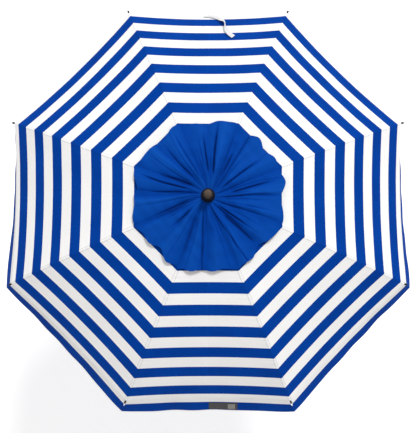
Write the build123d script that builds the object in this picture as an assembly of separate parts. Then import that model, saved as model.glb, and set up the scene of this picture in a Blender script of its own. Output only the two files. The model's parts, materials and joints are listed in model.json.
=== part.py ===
from build123d import *
import os
from math import atan2, cos, hypot, radians, sin

# Beach umbrella with a straight wooden pole, shown open. Millimetres, +Z up the pole, origin at the
# pole's point. Eight ribs fold down about the crown; a strut under each rib joins it to the runner.
# Each strut is as long as the stretch of rib from crown pivot to strut pivot, so runner, struts and
# ribs make isosceles triangles and every angle keeps a constant ratio to the fold.

# ---- driving dimensions ----
RIBS = 8
FIRST_RIB_AZIMUTH = 22.5
PIVOT_HEIGHT = 2200.0      # rib pivots above the pole's point
RIB_ARC_RADIUS = 1826.0    # curve of the ribs, level at the crown
RIB_LENGTH = 1092.0        # along the arc, from the pivot
ROD_R = 3.0                # fibreglass rib rod
STRUT_R = 2.8
STRUT_JOINT_AT = 520.0     # along the rib's arc
STRUT_JOINT_DROP = 20.0    # strut pivot below the rod's axis
PIN_R = 1.5
EYE_R = 5.0
EYE_WIDTH = 6.0

POLE_R = 19.0
POINT_LENGTH = 220.0
POINT_R = 3.0
JOINT_HEIGHT = 1020.0      # where the two pole sections meet
SPIGOT_R = 17.5            # lower section's turned end inside the ferrule
FERRULE_HALF = 70.0
FERRULE_WALL = 2.0

HUB_WALL = 8.0             # ring between the pole and the slots
SLOT_END_CLEAR = 2.0       # eye to the slot's floor
HUB_BOTTOM, HUB_TOP = -10.0, 8.0
RUNNER_WALL = 7.0
RUNNER_TAIL = 62.0         # sleeve below the strut pivots
COLLAR_R, COLLAR_TOP_R, COLLAR_H = 33.0, 25.0, 34.0
KNOB_H = 62.0
STUD_R, STUD_DEPTH = 5.0, 30.0

TIP_WALL, TIP_LENGTH = 2.0, 18.0
TIP_OVERLAP = 5.0          # cap's mouth to the rod's end, less than its length
CLOTH_START = 250.0        # edge of the vent hole
CLOTH = 1.2                # cloth thickness
CLOTH_GAP = 1.5            # rod to cloth
VENT_LIFT = 3.0            # vent cap above the panels
VENT_START = 3.0
VENT_END = 348.0
CROWN_RISE = 5.0           # extra lift of the cap over the hub
GORE_SAG = 25.0            # how far a panel's middle hangs at the rim
GORE_BOW = 0.012           # how far the rim's middle draws in
VALANCE = 93.0
VALANCE_SLOPE, VALANCE_SWING = 70.0, 27.0
SEAM_GAP = 0.5             # half the gap between neighbouring cloth sectors
TIP_NOTCH = 7.0            # valance edge beside the rib tip
STRAP_WIDTH, STRAP_THICK = 25.0, 1.6

SCREW_R = 3.0
BOSS_R, GRIP_R, GRIP_LENGTH = 8.0, 13.0, 12.0
RUNNER_SCREW_DROP = 38.0

PIN_CLEAR = 0.05           # turning fit on a pin or screw
SIDE_CLEAR = 0.5           # eye to cheek
SLEEVE_CLEAR = 0.4         # runner on the pole
SOCKET_CLEAR = 0.05        # pole in the ferrule
TIP_CLEAR = 0.2            # screw end to pole

# ---- worked out from them ----
SLOT_FLOOR_R = POLE_R + HUB_WALL
PIVOT_R = SLOT_FLOOR_R + SLOT_END_CLEAR + EYE_R    # rib and strut pivots from the pole's axis
HUB_R = PIVOT_R + 2 * EYE_R
TIP_R = ROD_R + TIP_WALL
CLOTH_END = RIB_LENGTH - TIP_LENGTH + TIP_OVERLAP  # panel edge along the rib
HALF_GORE = radians(180.0 / RIBS)
ARC_AT_JOINT = STRUT_JOINT_AT / RIB_ARC_RADIUS
JOINT_R = PIVOT_R + (RIB_ARC_RADIUS - STRUT_JOINT_DROP) * sin(ARC_AT_JOINT)
JOINT_Z = -RIB_ARC_RADIUS + (RIB_ARC_RADIUS - STRUT_JOINT_DROP) * cos(ARC_AT_JOINT)
STRUT_LENGTH = hypot(JOINT_R - PIVOT_R, JOINT_Z)
RUNNER_Z = 2 * JOINT_Z     # strut pivots on the runner, below the rib pivots
SLOT_WIDTH = max(EYE_WIDTH, 2 * ROD_R) + 2 * SIDE_CLEAR   # the eye and the rod both stand in it
PANEL_LIFT = ROD_R + CLOTH_GAP + CLOTH
CAP_LIFT = PANEL_LIFT + VENT_LIFT + CLOTH
VENT_TOP = HUB_TOP + CLOTH_GAP + CLOTH


def rib_point(s, lift=0.0):
    """A point above the rib's arc: (radius, height), with height counted from the rib pivots."""
    a = s / RIB_ARC_RADIUS
    return (PIVOT_R + (RIB_ARC_RADIUS + lift) * sin(a),
            (RIB_ARC_RADIUS + lift) * cos(a) - RIB_ARC_RADIUS)


def rod_between(start, end, radius):
    """A round bar between two points."""
    start, end = Vector(*start), Vector(*end)
    return Solid.make_cylinder(radius, (end - start).length, Plane(start, z_dir=end - start))


def cross_pin(r, z, radius, width):
    """A cylinder across the rib's plane, centred on it."""
    return Solid.make_cylinder(radius, width, Plane((r, -width / 2, z), z_dir=(0, 1, 0)))


def block(x0, x1, width, z0, z1):
    """A box centred across the rib's plane."""
    return Pos((x0 + x1) / 2, 0, (z0 + z1) / 2) * Box(x1 - x0, width, z1 - z0)


def tube(outer, inner, z0, z1):
    """A ring round the pole's axis."""
    return Pos(0, 0, (z0 + z1) / 2) * (Cylinder(outer, z1 - z0) - Cylinder(inner, z1 - z0))


def skin(top, bottom):
    """A thin closed solid between two grids of points, as flat triangles."""
    rows, columns = len(top), len(top[0])
    quads = []
    for i in range(rows - 1):
        for j in range(columns - 1):
            quads.append((top[i][j], top[i][j + 1], top[i + 1][j + 1], top[i + 1][j]))
            quads.append((bottom[i][j], bottom[i + 1][j], bottom[i + 1][j + 1], bottom[i][j + 1]))
    for j in range(columns - 1):
        for i, k in ((0, j), (rows - 1, j)):
            quads.append((top[i][k], top[i][k + 1], bottom[i][k + 1], bottom[i][k]))
    for i in range(rows - 1):
        for j in (0, columns - 1):
            quads.append((top[i][j], top[i + 1][j], bottom[i + 1][j], bottom[i][j]))
    faces = []
    for a, b, c, d in quads:
        for corners in ((a, b, c), (a, c, d)):
            faces.append(Face(Wire.make_polygon([Vector(*p) for p in corners], close=True)))
    return Solid(Shell(faces))


def steps(start, end, count):
    """Evenly spaced values from start to end."""
    return [start + (end - start) * i / count for i in range(count + 1)]


def gore_point(s, lift, across):
    """A point of a cloth sector in its rib's frame. across runs from -1 to 1, mid gore to mid gore,
    and the cloth is straight from the rib to the middle of the gore."""
    r, z = rib_point(s, lift)
    middle = r * cos(HALF_GORE) * (1 - GORE_BOW * s / RIB_LENGTH)
    drop = GORE_SAG * (s / RIB_LENGTH) ** 2
    share = abs(across)
    x = r + (middle * cos(HALF_GORE) - r) * share
    y = middle * sin(HALF_GORE) * across
    return x, y, z - drop * share


def trimmed(s, lift):
    """The across values of a sector that stops short of its seam."""
    edge = 1 - SEAM_GAP / gore_point(s, lift, 1)[1]
    return [-edge, -edge / 2, 0, edge / 2, edge]


def cap_lift(s):
    """The vent cap's height above the rod, more over the hub."""
    return CAP_LIFT + CROWN_RISE * max(0.0, 1 - s / 100.0)


def lowered(grid, by):
    """The same grid, lower."""
    return [[(x, y, z - by) for x, y, z in row] for row in grid]


def panel_sector():
    top = [[gore_point(s, PANEL_LIFT, t) for t in trimmed(s, PANEL_LIFT)]
           for s in steps(CLOTH_START, CLOTH_END, 12)]
    return skin(top, lowered(top, CLOTH))


def vent_sector():
    top = [[gore_point(s, cap_lift(s), t) for t in trimmed(s, cap_lift(s))]
           for s in steps(VENT_START, VENT_END, 6)]
    return skin(top, lowered(top, CLOTH))


def valance_sector(azimuth):
    """Two flaps, one each side of the rib tip, hanging from the panel's edge. They flare more on
    the -Y side of the umbrella, where the wind has lifted them."""
    flaps = []
    for side in (-1, 1):
        reach = gore_point(CLOTH_END, PANEL_LIFT, 1)[1]
        ends = (TIP_NOTCH / reach, 1 - SEAM_GAP / reach)
        top, under = [], []
        for down in steps(0.4, VALANCE, 3):
            row, back = [], []
            for t in steps(*ends, 2):
                x, y, z = gore_point(CLOTH_END, PANEL_LIFT - CLOTH, side * t)
                around = radians(azimuth) + atan2(y, x)
                slope = radians(VALANCE_SLOPE + VALANCE_SWING * sin(around))
                out = HALF_GORE * side
                dx, dy = cos(slope) * cos(out), cos(slope) * sin(out)
                row.append((x + down * dx, y + down * dy, z - down * sin(slope)))
                nx, ny = -CLOTH * sin(slope) * cos(out), -CLOTH * sin(slope) * sin(out)
                back.append((row[-1][0] + nx, row[-1][1] + ny, row[-1][2] - CLOTH * cos(slope)))
            top.append(row)
            under.append(back)
        flaps.append(skin(top, under))
    return Compound(flaps)


def rib_rod():
    path = Edge.make_three_point_arc(*[Vector(r, 0, z) for r, z in
                                       (rib_point(s) for s in (8.0, RIB_LENGTH / 2, RIB_LENGTH))])
    return Solid.sweep(Wire.make_circle(ROD_R, Plane(path @ 0, z_dir=path % 0)), path=path)


def rib(rod):
    """Rod, the eye that turns on the crown's pin, and the bracket and pin that carry the strut."""
    eye = cross_pin(PIVOT_R, 0, EYE_R, EYE_WIDTH) + block(PIVOT_R, PIVOT_R + 26, EYE_WIDTH, -ROD_R - 1, ROD_R + 1)
    eye -= cross_pin(PIVOT_R, 0, PIN_R + PIN_CLEAR, EYE_WIDTH + 2)
    ear_width = EYE_WIDTH + 2 * SIDE_CLEAR + 4.0
    ears = cross_pin(JOINT_R, JOINT_Z, EYE_R, ear_width)
    r, z = rib_point(STRUT_JOINT_AT)
    along, up = (cos(ARC_AT_JOINT), 0, -sin(ARC_AT_JOINT)), (sin(ARC_AT_JOINT), 0, cos(ARC_AT_JOINT))
    tilt = Plane((r, 0, z), x_dir=along, z_dir=up)
    saddle = tilt * Pos(0, 0, -STRUT_JOINT_DROP / 2) * Box(2 * EYE_R, ear_width, STRUT_JOINT_DROP)
    sleeve = tilt * Pos(0, 0, -1) * Box(34, 2 * ROD_R + 4, 2 * ROD_R + 2)
    room = tilt * Pos(0, 0, -STRUT_JOINT_DROP - 2) * Box(60, EYE_WIDTH + 2 * SIDE_CLEAR, 2 * EYE_R + 12)
    bracket = ears + saddle + sleeve - room - cross_pin(JOINT_R, JOINT_Z, PIN_R, ear_width + 2)
    pin = cross_pin(JOINT_R, JOINT_Z, PIN_R, ear_width)
    return Compound([rod] + (eye - rod).solids() + (bracket - rod).solids() + [pin])


def rib_tip(rod):
    r, z = rib_point(CLOTH_END + 1.5)
    a = CLOTH_END / RIB_ARC_RADIUS
    way = Vector(cos(a), 0, -sin(a))
    cap = Solid.make_cylinder(TIP_R, TIP_LENGTH, Plane((r, 0, z), z_dir=way))
    dome = Pos(*(Vector(r, 0, z) + way * TIP_LENGTH)) * Sphere(TIP_R)
    return (cap + dome) - rod


def strut():
    """From the bracket's pin to the runner's pin, an eye at each end."""
    ends = ((JOINT_R, JOINT_Z), (PIVOT_R, RUNNER_Z))
    body = rod_between((ends[0][0], 0, ends[0][1]), (ends[1][0], 0, ends[1][1]), STRUT_R)
    for r, z in ends:
        body += cross_pin(r, z, EYE_R, EYE_WIDTH)
    for r, z in ends:
        body -= cross_pin(r, z, PIN_R + PIN_CLEAR, EYE_WIDTH + 2)
    return body


def pinned_ring(bore, z):
    """A slotted ring round the pole with a cheek each side of every eye, and its pins apart."""
    ring = tube(HUB_R, bore, z + HUB_BOTTOM, z + HUB_TOP)
    pins = []
    for k in range(RIBS):
        turn = Rot(0, 0, FIRST_RIB_AZIMUTH + 360.0 / RIBS * k)
        ring -= turn * block(SLOT_FLOOR_R, HUB_R + 5, SLOT_WIDTH, z + HUB_BOTTOM - 1, z + HUB_TOP + 1)
        pin = turn * cross_pin(PIVOT_R, z, PIN_R, SLOT_WIDTH + 12)
        ring -= pin
        pins.append(pin)
    return ring, Compound([p.solid() for p in pins])


def boss(wall_r, z):
    """A nut block on a tube's side that a thumb screw goes through."""
    return rod_between((wall_r - 1.5, 0, z), (wall_r + 9, 0, z), BOSS_R)


def thumb_screw(wall_r, z):
    """Screw and lobed grip, lying along X."""
    tip, head = POLE_R + TIP_CLEAR, wall_r + 11
    grip = rod_between((head, 0, z), (head + GRIP_LENGTH, 0, z), GRIP_R)
    for k in range(6):
        a = radians(60 * k)
        y, h = (GRIP_R + 2.5) * cos(a), (GRIP_R + 2.5) * sin(a)
        grip -= rod_between((head - 1, y, z + h), (head + GRIP_LENGTH + 1, y, z + h), 5.0)
    grip += rod_between((tip, 0, z), (head + 2, 0, z), SCREW_R)
    return grip


def poles():
    """Upper section, lower section with its turned point, and the ferrule that joins them."""
    low, high = JOINT_HEIGHT - FERRULE_HALF, JOINT_HEIGHT + FERRULE_HALF
    upper = Pos(0, 0, (JOINT_HEIGHT + PIVOT_HEIGHT + HUB_TOP) / 2) * Cylinder(
        POLE_R, PIVOT_HEIGHT + HUB_TOP - JOINT_HEIGHT)
    upper -= Pos(0, 0, PIVOT_HEIGHT + HUB_TOP - STUD_DEPTH / 2) * Cylinder(STUD_R, STUD_DEPTH)
    lower = Solid.make_cone(POINT_R, POLE_R, POINT_LENGTH)
    lower += Pos(0, 0, (POINT_LENGTH + low) / 2) * Cylinder(POLE_R, low - POINT_LENGTH)
    lower += Pos(0, 0, (low + JOINT_HEIGHT) / 2) * Cylinder(SPIGOT_R, FERRULE_HALF)
    wall = POLE_R + FERRULE_WALL
    ferrule = Pos(0, 0, JOINT_HEIGHT) * Cylinder(wall, 2 * FERRULE_HALF)
    screw_z = JOINT_HEIGHT + FERRULE_HALF / 2
    ferrule += boss(wall, screw_z)
    ferrule -= Pos(0, 0, (low + JOINT_HEIGHT) / 2) * Cylinder(SPIGOT_R, FERRULE_HALF)
    ferrule -= Pos(0, 0, (high + JOINT_HEIGHT) / 2) * Cylinder(POLE_R + SOCKET_CLEAR, FERRULE_HALF)
    ferrule -= rod_between((POLE_R - 2, 0, screw_z), (wall + 20, 0, screw_z), SCREW_R + PIN_CLEAR)
    return upper, lower, ferrule, thumb_screw(wall, screw_z)


def runner():
    z = PIVOT_HEIGHT + RUNNER_Z
    bore = POLE_R + SLEEVE_CLEAR
    wall = bore + RUNNER_WALL
    ring, pins = pinned_ring(bore, z)
    ring += tube(wall, bore, z - RUNNER_TAIL, z + HUB_BOTTOM + 1)
    screw_z = z - RUNNER_SCREW_DROP
    ring += boss(wall, screw_z) - Pos(0, 0, screw_z) * Cylinder(bore, 4 * BOSS_R)
    ring -= rod_between((POLE_R - 2, 0, screw_z), (wall + 20, 0, screw_z), SCREW_R + PIN_CLEAR)
    return ring, pins, thumb_screw(wall, screw_z)


def finial():
    """The collar that clamps the cap's cloth on the hub, and the wooden knob with its stud."""
    base = PIVOT_HEIGHT + VENT_TOP + CROWN_RISE
    collar = Pos(0, 0, base) * (Solid.make_cone(COLLAR_R, COLLAR_TOP_R, COLLAR_H)
                                + Pos(0, 0, 3) * Cylinder(COLLAR_R, 6))
    collar += rod_between((0, 0, PIVOT_HEIGHT + HUB_TOP), (0, 0, base + 1), COLLAR_TOP_R)
    collar -= Pos(0, 0, base) * Cylinder(STUD_R, 4 * COLLAR_H)
    top = base + COLLAR_H
    knob = Pos(0, 0, top + (KNOB_H - POLE_R) / 2) * Cylinder(POLE_R, KNOB_H - POLE_R)
    knob += Pos(0, 0, top + KNOB_H - POLE_R) * Sphere(POLE_R)
    foot = PIVOT_HEIGHT + HUB_TOP - STUD_DEPTH
    knob += rod_between((0, 0, foot), (0, 0, top + 5), STUD_R)
    return collar, knob


def strap():
    """The closing strap, sewn at the rim's middle on the +Y side and blown back over the panel.
    Its middle line is given in mm inward from the rim and across from the middle of the gore."""
    line = [(3, -24), (0, 4), (11, 34), (33, 62), (65, 82), (99, 92), (133, 101), (161, 122), (183, 148)]
    line = [(CLOTH_END - inward, across) for inward, across in line]
    reach = gore_point(CLOTH_END, PANEL_LIFT, 1)[1]
    top = []
    for i, (s, u) in enumerate(line):
        before, after = line[max(i - 1, 0)], line[min(i + 1, len(line) - 1)]
        ds, du = after[0] - before[0], after[1] - before[1]
        size = hypot(ds, du)
        row = []
        for half in (-STRAP_WIDTH / 2, STRAP_WIDTH / 2):
            at, over = min(s - du / size * half, CLOTH_END), u + ds / size * half
            # the gore's two halves mirror each other about the middle
            x, y, z = gore_point(at, PANEL_LIFT + 4 + STRAP_THICK, 1 - abs(over) / reach)
            spin = -HALF_GORE
            xr, yr = x * cos(spin) - y * sin(spin), x * sin(spin) + y * cos(spin)
            row.append((xr, -abs(yr) if over > 0 else abs(yr), z))
        top.append(row)
    return Pos(0, 0, PIVOT_HEIGHT) * Rot(0, 0, 90) * skin(top, lowered(top, STRAP_THICK))


os.makedirs("parts", exist_ok=True)


def save(name, shape):
    export_step(Compound(shape.solids()) if len(shape.solids()) > 1 else shape.solid(),
                "parts/" + name + ".step")


upper_pole, lower_pole, pole_ferrule, ferrule_knob = poles()
crown_hub, crown_pins = pinned_ring(POLE_R, PIVOT_HEIGHT)
runner_sleeve, runner_pins, runner_knob = runner()
finial_collar, finial_knob = finial()
singles = {"upper_pole": upper_pole, "lower_pole": lower_pole, "pole_ferrule": pole_ferrule,
           "ferrule_knob": ferrule_knob, "crown_hub": crown_hub, "crown_pins": crown_pins,
           "runner": runner_sleeve, "runner_pins": runner_pins, "runner_knob": runner_knob,
           "finial_collar": finial_collar, "finial_knob": finial_knob, "closing_strap": strap()}
for name, shape in singles.items():
    save(name, shape)

rod = rib_rod()
sector = {"rib": rib(rod), "rib_tip": rib_tip(rod), "strut": strut(),
          "canopy": panel_sector(), "vent": vent_sector()}
for k in range(RIBS):
    azimuth = FIRST_RIB_AZIMUTH + 360.0 / RIBS * k
    place = Pos(0, 0, PIVOT_HEIGHT) * Rot(0, 0, azimuth)
    for name, shape in sector.items():
        save(f"{name}_{k + 1}", place * shape)
    save(f"valance_{k + 1}", place * valance_sector(azimuth))

print("strut length", round(STRUT_LENGTH, 2), "strut pivot", round(JOINT_R, 3), round(JOINT_Z, 3))
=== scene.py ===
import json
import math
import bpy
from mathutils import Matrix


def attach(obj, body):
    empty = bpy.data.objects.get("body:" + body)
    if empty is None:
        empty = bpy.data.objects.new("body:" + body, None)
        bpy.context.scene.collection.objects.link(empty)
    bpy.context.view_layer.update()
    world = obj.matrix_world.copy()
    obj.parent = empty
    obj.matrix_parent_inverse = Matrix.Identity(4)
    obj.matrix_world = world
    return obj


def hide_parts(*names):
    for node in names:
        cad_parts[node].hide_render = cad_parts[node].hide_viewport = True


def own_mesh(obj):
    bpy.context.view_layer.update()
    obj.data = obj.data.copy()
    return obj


bl_info = {
    "name": "Beach umbrella",
    "version": (1, 0, 0),
    "blender": (4, 5, 0),
    "location": "3D View > Sidebar > Umbrella",
    "description": "Cloth, finishes and a plain studio for a striped beach umbrella",
    "category": "Object",
}

import bpy
import numpy as np
from bpy.props import FloatProperty, PointerProperty, StringProperty
from mathutils import Vector

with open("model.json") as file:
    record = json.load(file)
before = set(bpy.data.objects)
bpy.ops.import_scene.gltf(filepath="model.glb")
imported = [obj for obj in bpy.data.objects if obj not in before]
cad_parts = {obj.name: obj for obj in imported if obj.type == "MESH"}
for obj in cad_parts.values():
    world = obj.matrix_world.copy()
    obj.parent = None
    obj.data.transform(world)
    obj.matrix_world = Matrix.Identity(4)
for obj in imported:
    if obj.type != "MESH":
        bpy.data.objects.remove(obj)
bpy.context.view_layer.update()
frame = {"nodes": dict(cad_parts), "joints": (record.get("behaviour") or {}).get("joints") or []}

# ---- where the frame says things are ----
JOINTS = {j["name"]: j for j in frame["joints"]}
RIBS = sum(name.startswith("rib_") for name in JOINTS)
PIVOT_X, PIVOT_Y, PIVOT_HEIGHT = JOINTS["rib_1_fold"]["pos_m"]
PIVOT_R = math.hypot(PIVOT_X, PIVOT_Y)
FIRST_AZIMUTH = math.atan2(PIVOT_Y, PIVOT_X)
HALF_GORE = math.pi / RIBS

# ---- the cut of the cloth, in metres, the same as the frame's ----
RIB_ARC_RADIUS = 1.826
RIB_LENGTH = 1.092
PANEL_START, PANEL_END = 0.250, 1.079
PANEL_LIFT = 0.0057
CAP_START, CAP_END = -0.002, 0.336
CAP_LIFT = 0.0099
CROWN_RISE, CROWN_REACH = 0.005, 0.1
GORE_SAG, GORE_BOW = 0.025, 0.012
FLARE_MIDDLE, FLARE_SWING = math.radians(70), math.radians(27)
TIP_NOTCH = 0.007
STRIPE_START = 0.402  # where the first blue stripe outside the cap begins
SEAM_HALF = 0.007
SEAM_PROUD = 0.0006
PUCKER_WAVE = 0.028
CAP_LOWEST = -0.0022  # how far the pleats may dip below the plain cap, which stays clear of the panels
# colours of the cap's painted shade in its creases and of the painted highlight on its ridges
CREASE_SHADE_BLUE, RIDGE_HIGHLIGHT_BLUE = "#002468", "#1058B8"


# ---- settings a user would change ----
class ClothSettings(bpy.types.PropertyGroup):
    stripe: FloatProperty(name="Stripe", description="Width of one stripe", default=0.059, unit="LENGTH")
    valance: FloatProperty(name="Valance", description="Depth of the valance", default=0.093, unit="LENGTH")
    thickness: FloatProperty(name="Cloth", description="Thickness of the cloth", default=0.0006,
                             unit="LENGTH")
    hem: FloatProperty(name="Hem", description="Depth of the turned hem", default=0.011, unit="LENGTH")
    pleat: FloatProperty(name="Pleats", description="Height of the cap's folds", default=0.026, unit="LENGTH")
    strap_width: FloatProperty(name="Strap", description="Width of the strap", default=0.025, unit="LENGTH")


class ColourSettings(bpy.types.PropertyGroup):
    blue: StringProperty(name="Blue", description="Blue yarn", default="#0044A4")
    blue_deep: StringProperty(name="Deep blue", description="Darker blue yarn", default="#003790")
    white: StringProperty(name="White", description="White yarn", default="#FDFCFA")
    white_shade: StringProperty(name="White shade", description="Greyer white yarn", default="#F6F5F5")
    ash: StringProperty(name="Ash", description="Pale ash wood", default="#C79F6B")
    ash_grain: StringProperty(name="Ash grain", description="Grain lines of the ash", default="#8F6738")
    knob: StringProperty(name="Knob", description="Weathered wood of the finial", default="#63564B")
    nylon: StringProperty(name="Nylon", description="Black nylon", default="#0E0E10")


class StudioSettings(bpy.types.PropertyGroup):
    distance: FloatProperty(name="Distance", description="Camera to crown", default=4.06, unit="LENGTH")
    elevation: FloatProperty(name="Elevation", description="Camera above the horizon",
                             default=math.radians(84.8), subtype="ANGLE")
    lens: FloatProperty(name="Lens", description="Focal length in millimetres", default=72.6)
    sky: FloatProperty(name="Sky", description="Strength of the even light", default=0.55)
    sun: FloatProperty(name="Lamp", description="Strength of the soft lamp", default=2.05)


# ---- small helpers ----
def linear(code):
    """An sRGB hex colour as a linear RGBA tuple."""
    values = [int(code[i:i + 2], 16) / 255 for i in (1, 3, 5)]
    return tuple(v / 12.92 if v <= 0.04045 else ((v + 0.055) / 1.055) ** 2.4 for v in values) + (1.0,)


def azimuth_of(k):
    """The azimuth of rib k, counted from 1."""
    return FIRST_AZIMUTH + 2 * HALF_GORE * (k - 1)


def gore_point(s, across, lift):
    """Cloth in its rib's frame. The rib is an arc, level at its pivot: radius = pivot radius + R sin(s/R),
    height = R cos(s/R) - R, with R made larger by the lift. Across it the cloth runs along the straight
    chord to the middle of the gore, where a smooth share f = a(2 - a) of the bow and sag is reached."""
    angle = s / RIB_ARC_RADIUS
    r = PIVOT_R + (RIB_ARC_RADIUS + lift) * np.sin(angle)
    z = (RIB_ARC_RADIUS + lift) * np.cos(angle) - RIB_ARC_RADIUS
    share = np.abs(across)
    eased = share * (2 - share)
    out = np.maximum(s / RIB_LENGTH, 0)
    bow = GORE_BOW * out * r * math.cos(HALF_GORE) * eased
    x = r * (1 - share * math.sin(HALF_GORE) ** 2) - bow * math.cos(HALF_GORE)
    y = across * r * math.cos(HALF_GORE) * math.sin(HALF_GORE)
    y = y - np.sign(across) * bow * math.sin(HALF_GORE)
    return x, y, z - GORE_SAG * out ** 2 * eased


def placed(x, y, z, azimuth):
    """Points of a rib's frame, turned to its azimuth and raised to the pivots."""
    c, s = math.cos(azimuth), math.sin(azimuth)
    return np.stack([x * c - y * s, x * s + y * c, z + PIVOT_HEIGHT], -1)


def ripple(x, y, wave, seed):
    """A smooth random field: eight sine waves of about that wavelength, in seeded directions."""
    rng = np.random.default_rng(seed)
    total = np.zeros_like(x)
    turns, phases, scales = rng.uniform(0, math.tau, 8), rng.uniform(0, math.tau, 8), rng.uniform(0.7, 1.5, 8)
    for turn, phase, scale in zip(turns, phases, scales):
        total += np.sin((x * math.cos(turn) + y * math.sin(turn)) * math.tau / (wave * scale) + phase)
    return total / 8


def surface(name, patches, furrow=None):
    """A mesh object from grids: each patch is (points, uv), with rows outward and columns to the left,
    so that rows x columns points up. Every four neighbours make one quad. furrow, from 0 to 1 at each
    point, is kept as an attribute."""
    points, faces, uvs, first = [], [], [], 0
    for grid, uv in patches:
        rows, columns = grid.shape[:2]
        index = np.arange(rows * columns).reshape(rows, columns) + first
        corners = [index[:-1, :-1], index[1:, :-1], index[1:, 1:], index[:-1, 1:]]
        faces.append(np.stack(corners, -1).reshape(-1, 4))
        points.append(grid.reshape(-1, 3))
        uvs.append(uv.reshape(-1, 2))
        first += rows * columns
    points, faces, uvs = np.concatenate(points), np.concatenate(faces), np.concatenate(uvs)
    mesh = bpy.data.meshes.new(name)
    mesh.vertices.add(len(points))
    mesh.vertices.foreach_set("co", points.astype(np.float32).ravel())
    mesh.loops.add(faces.size)
    mesh.loops.foreach_set("vertex_index", faces.ravel().astype(np.int32))
    mesh.polygons.add(len(faces))
    mesh.polygons.foreach_set("loop_start", np.arange(0, faces.size, 4, dtype=np.int32))
    mesh.update(calc_edges=True)
    layer = mesh.uv_layers.new(name="cloth")
    layer.data.foreach_set("uv", uvs[faces.ravel()].astype(np.float32).ravel())
    mesh.polygons.foreach_set("use_smooth", np.ones(len(faces), bool))
    if furrow is not None:
        kept = mesh.attributes.new("furrow", "FLOAT", "POINT")
        kept.data.foreach_set("value", furrow.astype(np.float32).ravel())
    mesh.validate()
    piece = bpy.data.objects.new(name, mesh)
    bpy.context.scene.collection.objects.link(piece)
    return piece


def thicken(piece, thickness):
    """Gives a cloth its thickness, downwards from the surface."""
    wall = piece.modifiers.new("thickness", "SOLIDIFY")
    wall.thickness = thickness
    wall.offset = -1
    # keeps the narrow cut edge from darkening the face beside it
    piece.modifiers.new("even_shading", "WEIGHTED_NORMAL")
    return piece


def folds_with(piece, k, node):
    """The piece rides on rib k and stands for a node."""
    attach(piece, f"rib_{k}")
    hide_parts(node)
    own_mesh(piece)


def gore_width(s):
    """The cut width of one rib's sector at that arc length."""
    return 2 * math.sin(HALF_GORE) * (PIVOT_R + RIB_ARC_RADIUS * math.sin(s / RIB_ARC_RADIUS))


# ---- node helper and materials ----
def node(tree, kind, inputs=(), **settings):
    """Adds a node, sets its properties, and sets or links its inputs by name or number."""
    made = tree.nodes.new("ShaderNode" + kind)
    for key, value in settings.items():
        setattr(made, key, value)
    for key, value in dict(inputs).items():
        if isinstance(value, bpy.types.NodeSocket):
            tree.links.new(value, made.inputs[key])
        else:
            made.inputs[key].default_value = value
    return made


def started(name, **sockets):
    """A new material with its Principled shader's own sockets set."""
    material = bpy.data.materials.new(name)
    material.use_nodes = True
    shader = material.node_tree.nodes["Principled BSDF"]
    for key, value in sockets.items():
        shader.inputs[key.replace("_", " ")].default_value = value
    return material, material.node_tree, shader


def mixed(tree, share, first, second):
    """A colour between two, by a share."""
    made = node(tree, "Mix", {"Factor": share, 6: first, 7: second}, data_type="RGBA")
    return made.outputs[2]


def ramped(tree, value, low, high):
    """A value stretched so that low gives 0 and high gives 1."""
    return node(tree, "MapRange", {"Value": value, "From Min": low, "From Max": high}).outputs[0]


def math_of(tree, operation, first, second=0.0):
    """One arithmetic step."""
    return node(tree, "Math", {0: first, 1: second}, operation=operation).outputs[0]


def bumped(tree, shader, height, distance, strength=1.0):
    """Leads a height into the shader's normal. distance is the relief's depth in metres."""
    made = node(tree, "Bump", {"Height": height, "Distance": distance, "Strength": strength})
    tree.links.new(made.outputs["Normal"], shader.inputs["Normal"])


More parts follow.
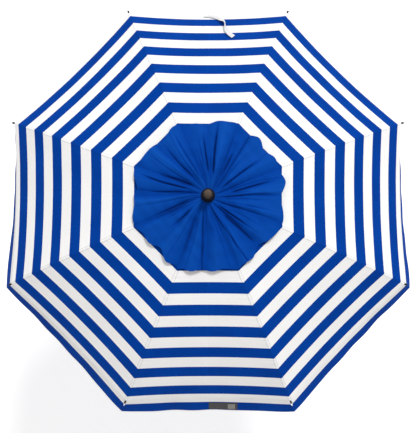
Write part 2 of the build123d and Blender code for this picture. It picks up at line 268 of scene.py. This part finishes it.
def woven_cloth(name, striped):
    """Solution-dyed acrylic, plain weave: matt, with a faint sheen, slubs that vary the yarn's colour,
    and a double-stitched seam along each rib. The weave is drawn at 2.5 mm, as a real 0.5 mm thread
    is too fine to show."""
    colours, cloth = bpy.context.scene.umbrella_colours, bpy.context.scene.umbrella_cloth
    material, tree, shader = started(name, Roughness=0.78, Sheen_Weight=0.008, Sheen_Roughness=0.45,
                                     Specular_IOR_Level=0.04)
    place = node(tree, "UVMap", uv_map="cloth").outputs[0]
    parts = node(tree, "SeparateXYZ", {0: place})
    across, along = parts.outputs[0], parts.outputs[1]
    slub_place = node(tree, "Mapping", {"Vector": place, "Scale": (45.0, 400.0, 1.0)}).outputs[0]
    slub = node(tree, "TexNoise", {"Vector": slub_place, "Scale": 1.0, "Detail": 3.0}).outputs[0]
    cloud = node(tree, "TexNoise", {"Vector": place, "Scale": 6.0, "Detail": 2.0}).outputs[0]
    yarn = math_of(tree, "ADD", math_of(tree, "MULTIPLY", slub, 0.5), math_of(tree, "MULTIPLY", cloud, 0.5))
    shade = ramped(tree, yarn, 0.32, 0.68)
    colour = mixed(tree, shade, linear(colours.blue_deep), linear(colours.blue))
    if striped:
        turns = math_of(tree, "DIVIDE", math_of(tree, "SUBTRACT", along, STRIPE_START), 2 * cloth.stripe)
        white_here = math_of(tree, "GREATER_THAN", math_of(tree, "FRACT", turns), 0.5)
        white = mixed(tree, shade, linear(colours.white_shade), linear(colours.white))
        colour = mixed(tree, white_here, colour, white)
    else:
        # painted shade and light: the creases are coloured darker, as painted shade, and the ridges paler, as
        # a painted highlight
        furrow = node(tree, "Attribute", attribute_name="furrow").outputs["Fac"]
        colour = mixed(tree, ramped(tree, furrow, 0.5, 1.0), colour, linear(CREASE_SHADE_BLUE))
        ridge_highlight = math_of(tree, "MULTIPLY", ramped(tree, furrow, 0.4, 0.0), 0.5)
        colour = mixed(tree, ridge_highlight, colour, linear(RIDGE_HIGHLIGHT_BLUE))
    from_seam = math_of(tree, "ABSOLUTE", across)
    groove = math_of(tree, "SUBTRACT", from_seam, SEAM_HALF)
    stitch = math_of(tree, "LESS_THAN", math_of(tree, "ABSOLUTE", groove), 0.0011)
    colour = mixed(tree, math_of(tree, "MULTIPLY", stitch, 0.28), colour, linear("#0A2C6E"))
    tree.links.new(colour, shader.inputs["Base Color"])
    threads = [node(tree, "TexWave", {"Vector": place, "Scale": 126.0}, bands_direction=d).outputs["Fac"]
               for d in ("X", "Y")]
    weave = math_of(tree, "ADD", threads[0], threads[1])
    height = math_of(tree, "ADD", math_of(tree, "MULTIPLY", weave, 0.35),
                     math_of(tree, "MULTIPLY", slub, 0.9))
    height = math_of(tree, "SUBTRACT", height, math_of(tree, "MULTIPLY", stitch, 0.8))
    bumped(tree, shader, height, 0.0004, 0.6)
    rough = node(tree, "MapRange", {"Value": slub, "To Min": 0.7, "To Max": 0.86}).outputs[0]
    tree.links.new(rough, shader.inputs["Roughness"])
    return material


def woven_webbing():
    """Polypropylene webbing: white, ribbed across at 2 mm, with a flat stitched edge."""
    colours = bpy.context.scene.umbrella_colours
    material, tree, shader = started("woven_polypropylene_webbing", Roughness=0.6, Sheen_Weight=0.1)
    place = node(tree, "UVMap", uv_map="cloth").outputs[0]
    rib = node(tree, "TexWave", {"Vector": place, "Scale": 157.0}, bands_direction="Y").outputs["Fac"]
    twill = node(tree, "TexWave", {"Vector": place, "Scale": 110.0, "Distortion": 1.0},
                 bands_direction="DIAGONAL").outputs["Fac"]
    colour = mixed(tree, math_of(tree, "MULTIPLY", rib, twill), linear("#D9DADC"), linear(colours.white))
    tree.links.new(colour, shader.inputs["Base Color"])
    bumped(tree, shader, math_of(tree, "ADD", rib, twill), 0.0004, 0.7)
    return material


def blank_ribbon(name, code):
    """Woven polyester ribbon in one plain colour: smooth satin, with its fine threads showing."""
    material, tree, shader = started(name, Roughness=0.5, Specular_IOR_Level=0.4)
    place = node(tree, "UVMap", uv_map="cloth").outputs[0]
    thread = node(tree, "TexWave", {"Vector": place, "Scale": 200.0, "Distortion": 0.6},
                  bands_direction="Y").outputs["Fac"]
    base = linear(code)
    dark = tuple(v * 0.75 for v in base[:3]) + (1.0,)
    tree.links.new(mixed(tree, thread, dark, base), shader.inputs["Base Color"])
    bumped(tree, shader, thread, 0.0002, 0.6)
    return material


def varnished_wood(name, light, dark, roughness, varnish=0.3):
    """Ash turned on a lathe: long grain up the pole with darker early wood and fine pores, under a
    satin varnish that is a little worn."""
    material, tree, shader = started(name, Coat_Weight=varnish, Coat_Roughness=0.25,
                                     Specular_IOR_Level=varnish)
    place = node(tree, "TexCoord").outputs["Object"]
    stretched = node(tree, "Mapping", {"Vector": place, "Scale": (1.0, 1.0, 0.05)}).outputs[0]
    rings = node(tree, "TexWave", {"Vector": stretched, "Scale": 55.0, "Distortion": 6.0, "Detail": 3.0,
                                   "Detail Scale": 1.5}, bands_direction="X").outputs["Fac"]
    pores = node(tree, "TexNoise", {"Vector": stretched, "Scale": 900.0, "Detail": 4.0}).outputs[0]
    board = node(tree, "TexNoise", {"Vector": stretched, "Scale": 14.0, "Detail": 2.0}).outputs[0]
    share = ramped(tree, math_of(tree, "ADD", math_of(tree, "MULTIPLY", rings, 0.6), board), 0.35, 1.25)
    colour = mixed(tree, share, linear(light), linear(dark))
    pore = ramped(tree, pores, 0.62, 0.75)
    colour = mixed(tree, math_of(tree, "MULTIPLY", pore, 0.35), colour, linear("#4F3518"))
    tree.links.new(colour, shader.inputs["Base Color"])
    worn = node(tree, "MapRange", {"Value": board, "To Min": roughness - 0.12, "To Max": roughness + 0.12})
    tree.links.new(worn.outputs[0], shader.inputs["Roughness"])
    bumped(tree, shader, pore, 0.0002, 0.4)
    return material


def hard_finish(name, code, edge, size, stretch=(1, 1, 1), relief=0.0001, low=0.4, high=0.6, metal=0.0,
                shine=0.5):
    """A moulded, drawn or painted surface: one colour that varies a little towards another, with a
    grain of the given size in metres, stretched along the way it was made."""
    material, tree, shader = started(name, Metallic=metal, Specular_IOR_Level=shine)
    place = node(tree, "TexCoord").outputs["Object"]
    stretched = node(tree, "Mapping", {"Vector": place, "Scale": stretch}).outputs[0]
    grain = node(tree, "TexNoise", {"Vector": stretched, "Scale": 1.0 / size, "Detail": 4.0}).outputs[0]
    wear = node(tree, "TexNoise", {"Vector": place, "Scale": 30.0, "Detail": 3.0}).outputs[0]
    share = math_of(tree, "MULTIPLY", ramped(tree, wear, 0.45, 0.75), 0.5)
    tree.links.new(mixed(tree, share, linear(code), linear(edge)), shader.inputs["Base Color"])
    rough = node(tree, "MapRange", {"Value": grain, "To Min": low, "To Max": high})
    tree.links.new(rough.outputs[0], shader.inputs["Roughness"])
    bumped(tree, shader, grain, relief, 0.5)
    return material


# ---- operators, one for each piece or group of like pieces ----
class UMBRELLA_OT_camera(bpy.types.Operator):
    """Place the camera over the canopy, a little towards -Y, with its framing"""
    bl_idname = "umbrella.camera"
    bl_label = "Camera"

    def execute(self, context):
        studio = context.scene.umbrella_studio
        tilt = math.pi / 2 - studio.elevation
        back = Vector((0, -math.sin(tilt), math.cos(tilt)))
        up = Vector((0, math.cos(tilt), math.sin(tilt)))
        aim = Vector((0.005, 0, PIVOT_HEIGHT)) - up * 0.096
        data = bpy.data.cameras.new("camera")
        data.lens = studio.lens
        camera = bpy.data.objects.new("camera", data)
        camera.location = aim + back * studio.distance
        camera.rotation_euler = (tilt, 0, 0)
        context.scene.collection.objects.link(camera)
        context.scene.camera = camera
        return {"FINISHED"}


class UMBRELLA_OT_hardware(bpy.types.Operator):
    """Finish the pole, ribs, struts, runner, crown and their pins"""
    bl_idname = "umbrella.hardware"
    bl_label = "Hardware finishes"

    def execute(self, context):
        colours = context.scene.umbrella_colours
        ash = varnished_wood("varnished_ash", colours.ash, colours.ash_grain, 0.4)
        knob = varnished_wood("weathered_ash", colours.knob, "#3A3029", 0.7, 0.08)
        nylon = hard_finish("moulded_nylon", colours.nylon, "#1C1C1E", 0.0015, shine=0.15)
        # pultruded, that is drawn lengthwise; its grain here is not stretched along the rod
        glass_fibre = hard_finish("pultruded_fibreglass", "#1A1A1B", "#333333", 0.002, low=0.25, high=0.4)
        enamel = hard_finish("black_enamelled_steel", "#121213", "#26262A", 0.003, low=0.25, high=0.38)
        alloy = hard_finish("brushed_aluminium", "#C9CBCE", "#B4B6BA", 0.0012, (0.1, 0.1, 1.0),
                            low=0.25, high=0.42, metal=1.0)
        steel = hard_finish("bright_steel_pin", "#B9BBBE", "#8F9194", 0.001, low=0.2, high=0.35, metal=1.0)
        finishes = {"upper_pole": ash, "lower_pole": ash, "finial_knob": knob, "pole_ferrule": alloy,
                    "crown_hub": nylon, "runner": nylon, "finial_collar": nylon, "ferrule_knob": nylon,
                    "runner_knob": nylon, "crown_pins": steel, "runner_pins": steel}
        for k in range(1, RIBS + 1):
            finishes.update({f"rib_{k}": glass_fibre, f"rib_tip_{k}": nylon, f"strut_{k}": enamel})
        for name, material in finishes.items():
            piece = frame["nodes"][name]
            piece.data.materials.clear()
            piece.data.materials.append(material)
        return {"FINISHED"}


class UMBRELLA_OT_panels(bpy.types.Operator):
    """Make the striped canopy panels, one sector on each rib"""
    bl_idname = "umbrella.panels"
    bl_label = "Canopy panels"

    def execute(self, context):
        cloth = context.scene.umbrella_cloth
        material = woven_cloth("woven_acrylic_stripe", True)
        s, across = np.meshgrid(np.linspace(PANEL_START, PANEL_END, 130), np.linspace(-1, 1, 73),
                                indexing="ij")
        width = gore_width(PANEL_END)
        for k in range(1, RIBS + 1):
            # the seam stands proud over the rib and puckers the cloth beside it
            x, y, z = gore_point(s, across, PANEL_LIFT)
            from_seam = np.abs(y)
            world = placed(x, y, z, azimuth_of(k))
            pucker = np.sin(s * math.tau / PUCKER_WAVE + 2 * ripple(s, across * 0, 0.09, k))
            pucker *= np.exp(-from_seam / 0.03)
            seam = SEAM_PROUD / (1 + np.exp((from_seam - SEAM_HALF) / 0.001))
            # broad slack, none over the rib
            slack = 0.0032 * ripple(world[..., 0], world[..., 1], 0.22, 5)
            slack *= np.minimum(from_seam / 0.1, 1)
            world[..., 2] += seam + 0.0007 * pucker + slack
            across_m = across * width / 2 * ((PIVOT_R + s) / (PIVOT_R + PANEL_END))
            piece = surface(f"canopy_panel_{k}", [(world, np.stack([across_m, s], -1))])
            piece.data.materials.append(material)
            thicken(piece, cloth.thickness)
            folds_with(piece, k, f"canopy_{k}")
        return {"FINISHED"}


def faceted(turn, knots, heights, width):
    """A closed chain of straight facets round the crown: heights joined by straight lines, rounded by
    averaging over five places within the given width."""
    total = np.zeros_like(turn)
    for step in np.linspace(-width, width, 5):
        total += np.interp(turn + step, knots, heights, period=math.tau)
    return total / 5


def creases(azimuth, share, count, width, rng):
    """Narrow furrows, each 1 / (1 + (distance / width) squared) across and as deep as its own random
    share, that start and end at random shares of the way out."""
    total = np.zeros_like(azimuth)
    starts = (np.arange(count) + rng.uniform(-0.4, 0.4, count)) / count * math.tau
    leans, nears = rng.uniform(-0.12, 0.12, count), rng.uniform(0, 0.35, count)
    fars, depths = rng.uniform(0.5, 1.15, count), rng.uniform(0.3, 1, count)
    for start, lean, near, far, depth in zip(starts, leans, nears, fars, depths):
        off = (azimuth - start - lean * share + math.pi) % math.tau - math.pi
        across = off * (PIVOT_R + share * (CAP_END - CAP_START))
        along = 1 / (1 + np.exp((near - share) / 0.03)) / (1 + np.exp((share - far) / 0.05))
        total += depth * along / (1 + (across / width) ** 2)
    return total


def cap_folds(azimuth, share):
    """Height of the cap's pleats, about 0 to 1, and how far down in a furrow each point is. They are
    facets that fall to a crease at each rib, with a second crease between two ridges in each gore, less
    narrow furrows. They turn clockwise near the collar."""
    rng = np.random.default_rng(11)
    turned = azimuth + 0.22 * (1 - share) ** 4
    knots, heights = [], []
    for k in range(1, RIBS + 1):
        places = np.array([0, 0.15, 0.5, 0.62]) + rng.uniform(-0.04, 0.04, 4)
        knots += list(azimuth_of(k) + places * 2 * HALF_GORE)
        heights += [0.0, rng.uniform(0.5, 1.0), rng.uniform(0.0, 0.4), rng.uniform(0.5, 1.0)]
    total = faceted(turned, np.array(knots), np.array(heights), 0.008)
    total += 0.16 * faceted(turned, np.sort(rng.uniform(0, math.tau, 40)), rng.uniform(0, 1, 40), 0.005)
    fine = creases(turned, share, 22, 0.0045, rng) * 0.5 + creases(turned, share, 40, 0.0025, rng) * 0.16
    # the second value, from how deep each point lies in the folds, sets the cap cloth's painted crease shade
    # and ridge highlight
    return total - fine, np.clip(0.42 - 0.5 * total + 2.4 * fine, 0, 1)


class UMBRELLA_OT_cap(bpy.types.Operator):
    """Make the pleated blue vent cap, one sector on each rib"""
    bl_idname = "umbrella.cap"
    bl_label = "Vent cap"

    def execute(self, context):
        cloth = context.scene.umbrella_cloth
        material = woven_cloth("woven_acrylic_blue", False)
        s, across = np.meshgrid(np.linspace(CAP_START, CAP_END, 110), np.linspace(-1, 1, 145),
                                indexing="ij")
        share = (s - CAP_START) / (CAP_END - CAP_START)
        width, length = gore_width(CAP_END), CAP_END - CAP_START
        for k in range(1, RIBS + 1):
            rise = CAP_LIFT + CROWN_RISE * np.clip(1 - s / CROWN_REACH, 0, 1)
            x, y, z = gore_point(s, across, rise)
            world = placed(x, y, z, azimuth_of(k))
            around = np.arctan2(world[..., 1], world[..., 0])
            # the edge wavers in and out and lifts between the ribs it is tied to
            free = (1 - np.exp(-np.abs(across) * 6)) * share ** 5
            waver = 0.030 * free * (0.15 + ripple(around * 0.37, around * 0, 0.13, 3))
            world[..., 0] += waver * np.cos(around)
            world[..., 1] += waver * np.sin(around)
            flutter = 0.006 * free * (1 + ripple(around * 0.35, around * 0, 0.1, 8))
            # flat under the collar, full a third of the way out, then easing towards the edge
            strength = np.clip(share / 0.3, 0, 1) ** 0.8 * (1 - 0.55 * share ** 2)
            folds, furrow = cap_folds(around, share)
            pleats = cloth.pleat * strength * folds
            slack = 0.006 * strength * ripple(world[..., 0], world[..., 1], 0.07, 21)
            world[..., 2] += np.maximum(pleats + slack, CAP_LOWEST) + flutter
            across_m = across * width / 2 * (PIVOT_R + s) / (PIVOT_R + CAP_END)
            piece = surface(f"vent_cap_{k}", [(world, np.stack([across_m, s], -1))], furrow)
            piece.data.materials.append(material)
            thicken(piece, cloth.thickness)
            folds_with(piece, k, f"vent_{k}")
        return {"FINISHED"}


def valance_points(k, down, across, lift=0.0):
    """The valance in the row's frame: straight down the flare's slope from the panel's edge. The slope
    below level is 70 degrees + 27 sin(azimuth), and soft waves grow towards the hem."""
    x, y, z = gore_point(np.full_like(across, PANEL_END), across, PANEL_LIFT)
    edge = placed(x, y, z, azimuth_of(k))
    around = np.arctan2(edge[..., 1], edge[..., 0])
    slope = FLARE_MIDDLE + FLARE_SWING * np.sin(around)
    out = azimuth_of(k) + np.tanh(across * 6) * HALF_GORE
    valance = bpy.context.scene.umbrella_cloth.valance
    wave = 0.006 * (down / valance) ** 1.3 * ripple(around, around * 0, 0.16, 31)
    level, drop = down * np.cos(slope), down * np.sin(slope)
    level = level + (wave + lift) * np.sin(slope)
    drop = drop - (wave + lift) * np.cos(slope)
    return edge + np.stack([level * np.cos(out), level * np.sin(out), -drop], -1)


class UMBRELLA_OT_valances(bpy.types.Operator):
    """Make the valance, two flaps on each rib that meet below its tip"""
    bl_idname = "umbrella.valances"
    bl_label = "Valance"

    def execute(self, context):
        cloth = context.scene.umbrella_cloth
        material = bpy.data.materials["woven_acrylic_stripe"]
        reach = gore_width(PANEL_END) / 2
        down, share = np.meshgrid(np.linspace(0, cloth.valance, 34), np.linspace(0, 1, 45), indexing="ij")
        for k in range(1, RIBS + 1):
            flaps = []
            for side in (-1, 1):
                # the notch beside the tip closes a third of the way down
                notch = TIP_NOTCH / reach * np.clip(1.6 - down / 0.03, 0.002, 1)
                across = side * (notch + (1 - notch) * share)
                hem = 0.0007 / (1 + np.exp((cloth.valance - cloth.hem - down) / 0.0008))
                points = valance_points(k, down, across, hem)
                uv = np.stack([across * reach, PANEL_END + down], -1)
                flaps.append((points, uv) if side > 0 else (points[:, ::-1], uv[:, ::-1]))
            piece = surface(f"valance_flap_{k}", flaps)
            piece.data.materials.append(material)
            thicken(piece, cloth.thickness)
            folds_with(piece, k, f"valance_{k}")
        return {"FINISHED"}


# middle line of the strap: (arc along the rib, metres across from the gore's middle, lift)
STRAP_LINE = [(1.076, -0.024, 0.004), (1.079, 0.004, 0.007), (1.068, 0.034, 0.006), (1.046, 0.062, 0.007),
              (1.014, 0.082, 0.009), (0.980, 0.092, 0.010), (0.946, 0.101, 0.008), (0.918, 0.122, 0.006),
              (0.896, 0.148, 0.005)]
STRAP_RIB = 2


class UMBRELLA_OT_strap(bpy.types.Operator):
    """Make the closing strap, sewn at the rim and lying on the panel"""
    bl_idname = "umbrella.strap"
    bl_label = "Closing strap"

    def execute(self, context):
        cloth = context.scene.umbrella_cloth
        line = np.array(STRAP_LINE)
        place = np.linspace(0, len(line) - 1, 90)
        knots = np.arange(len(line))
        smooth = np.stack([np.interp(place, knots, line[:, i]) for i in range(3)], -1)
        # rounding: a running mean softens the corners between the chosen points
        kernel = np.hanning(15) / np.hanning(15).sum()
        padded = np.pad(smooth, ((7, 7), (0, 0)), mode="reflect", reflect_type="odd")
        smooth = np.stack([np.convolve(padded[:, i], kernel, "valid") for i in range(3)], -1)
        way = np.gradient(smooth[:, :2], axis=0)
        way /= np.linalg.norm(way, axis=1)[:, None]
        # the strap stands nearly on edge half way along, as a half twist
        twist = 1.25 * np.exp(-((np.linspace(0, 1, 90) - 0.6) / 0.13) ** 2)
        half = np.linspace(-0.5, 0.5, 9) * cloth.strap_width
        s = smooth[:, :1] - way[:, 1:2] * half * np.cos(twist)[:, None]
        u = smooth[:, 1:2] + way[:, 0:1] * half * np.cos(twist)[:, None]
        lift = smooth[:, 2:] + (half + cloth.strap_width / 2) * np.sin(twist)[:, None] * 0.8
        s = np.minimum(s, PANEL_END + 0.004)
        reach = gore_width(PANEL_END) / 2
        # the gore's half beyond its middle mirrors this one, so its across value is folded back
        x, y, z = gore_point(s, 1 - np.abs(u) / reach, PANEL_LIFT + lift)
        azimuth = azimuth_of(STRAP_RIB)
        cos, sin = math.cos(HALF_GORE), math.sin(HALF_GORE)
        x, y = x * cos + y * sin, y * cos - x * sin
        y = np.where(u > 0, -np.abs(y), np.abs(y))
        points = placed(x, y, z, azimuth + HALF_GORE)
        run = np.cumsum(np.r_[0, np.linalg.norm(np.diff(points[:, 4], axis=0), axis=1)])
        uv = np.stack(np.broadcast_arrays(half[None], run[:, None]), -1)
        piece = surface("strap_webbing", [(points, uv)])
        piece.data.materials.append(woven_webbing())
        thicken(piece, 0.0014)
        folds_with(piece, STRAP_RIB, "closing_strap")
        return {"FINISHED"}


class UMBRELLA_OT_labels(bpy.types.Operator):
    """Sew the blank ribbon label and its smaller tag to the valance"""
    bl_idname = "umbrella.labels"
    bl_label = "Blank label and tag"

    def execute(self, context):
        reach = gore_width(PANEL_END) / 2
        patches = (("blank_label", 0.004, 0.146, 0.036, 0.086, 0.0012, "#2B2B2E"),
                   ("blank_tag", 0.098, 0.134, 0.044, 0.080, 0.0022, "#8D8A84"))
        for name, near, far, high, low, lift, code in patches:
            down, inward = np.meshgrid(np.linspace(high, low, 14), np.linspace(near, far, 30), indexing="ij")
            across = -(1 - inward / reach)
            points = valance_points(7, down, across, lift)
            piece = surface(name, [(points, np.stack([inward, down], -1))])
            piece.data.materials.append(blank_ribbon("woven_ribbon_" + name, code))
            thicken(piece, 0.0005)
            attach(piece, "rib_7")
            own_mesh(piece)
        return {"FINISHED"}


class UMBRELLA_OT_stage(bpy.types.Operator):
    """Set up the pale floor, the even sky and one soft lamp"""
    bl_idname = "umbrella.stage"
    bl_label = "Studio"

    def execute(self, context):
        studio = context.scene.umbrella_studio
        size = 30.0
        x, y = np.meshgrid(np.linspace(-size, size, 5), np.linspace(-size, size, 5), indexing="ij")
        floor = surface("floor", [(np.stack([x, y, x * 0 - 0.0005], -1), np.stack([x, y], -1))])
        material, tree, shader = started("matt_white_paper", Roughness=0.9)
        shader.inputs["Base Color"].default_value = linear("#F4F4F4")
        # the camera sees the paper a little brighter, so that it reads as white
        sight = node(tree, "LightPath")
        seen = math_of(tree, "MAXIMUM", sight.outputs["Is Camera Ray"], sight.outputs["Is Glossy Ray"])
        seen = math_of(tree, "MAXIMUM", seen, sight.outputs["Is Transmission Ray"])
        shader.inputs["Emission Color"].default_value = (1, 1, 1, 1)
        tree.links.new(math_of(tree, "MULTIPLY", seen, 0.42), shader.inputs["Emission Strength"])
        floor.data.materials.append(material)

        world = bpy.data.worlds.new("even_sky")
        world.use_nodes = True
        world.node_tree.nodes["Background"].inputs["Color"].default_value = (1, 1, 1, 1)
        # what is seen or mirrored of the sky is white; what it gives as light is the even strength
        sight = node(world.node_tree, "LightPath")
        seen = math_of(world.node_tree, "MAXIMUM", sight.outputs["Is Camera Ray"],
                       sight.outputs["Is Glossy Ray"])
        seen = math_of(world.node_tree, "MAXIMUM", seen, sight.outputs["Is Transmission Ray"])
        strength = node(world.node_tree, "MapRange", {"Value": seen, "To Min": studio.sky, "To Max": 1.0})
        background = world.node_tree.nodes["Background"]
        world.node_tree.links.new(strength.outputs[0], background.inputs["Strength"])
        context.scene.world = world

        lamp = bpy.data.lights.new("soft_lamp", "SUN")
        lamp.energy = studio.sun
        lamp.angle = math.radians(14)
        holder = bpy.data.objects.new("soft_lamp", lamp)
        holder.rotation_euler = Vector((0.30, 0.75, 1.0)).to_track_quat("Z", "Y").to_euler()
        context.scene.collection.objects.link(holder)
        context.scene.view_settings.view_transform = "Standard"
        return {"FINISHED"}


OPERATORS = (UMBRELLA_OT_camera, UMBRELLA_OT_hardware, UMBRELLA_OT_panels, UMBRELLA_OT_cap,
             UMBRELLA_OT_valances,
             UMBRELLA_OT_strap, UMBRELLA_OT_labels, UMBRELLA_OT_stage)


class UMBRELLA_PT_panel(bpy.types.Panel):
    """Sizes, colours and the steps that make the umbrella"""
    bl_idname = "UMBRELLA_PT_panel"
    bl_label = "Beach umbrella"
    bl_space_type = "VIEW_3D"
    bl_region_type = "UI"
    bl_category = "Umbrella"

    def draw(self, context):
        groups = (context.scene.umbrella_cloth, context.scene.umbrella_colours,
                  context.scene.umbrella_studio)
        for group in groups:
            box = self.layout.box()
            for name in group.__annotations__:
                box.prop(group, name)
        for operator in OPERATORS:
            self.layout.operator(operator.bl_idname)


SETTINGS = {"umbrella_cloth": ClothSettings, "umbrella_colours": ColourSettings,
            "umbrella_studio": StudioSettings}
CLASSES = (*SETTINGS.values(), *OPERATORS, UMBRELLA_PT_panel)


def register():
    for made in CLASSES:
        bpy.utils.register_class(made)
    for name, group in SETTINGS.items():
        setattr(bpy.types.Scene, name, PointerProperty(type=group))


def unregister():
    for name in SETTINGS:
        delattr(bpy.types.Scene, name)
    for made in reversed(CLASSES):
        bpy.utils.unregister_class(made)


def main():
    register()
    bpy.ops.umbrella.camera()
    bpy.ops.umbrella.hardware()
    bpy.ops.umbrella.panels()
    bpy.ops.umbrella.cap()
    bpy.ops.umbrella.valances()
    bpy.ops.umbrella.strap()
    bpy.ops.umbrella.labels()
    bpy.ops.umbrella.stage()


if __name__ == "__main__":
    main()
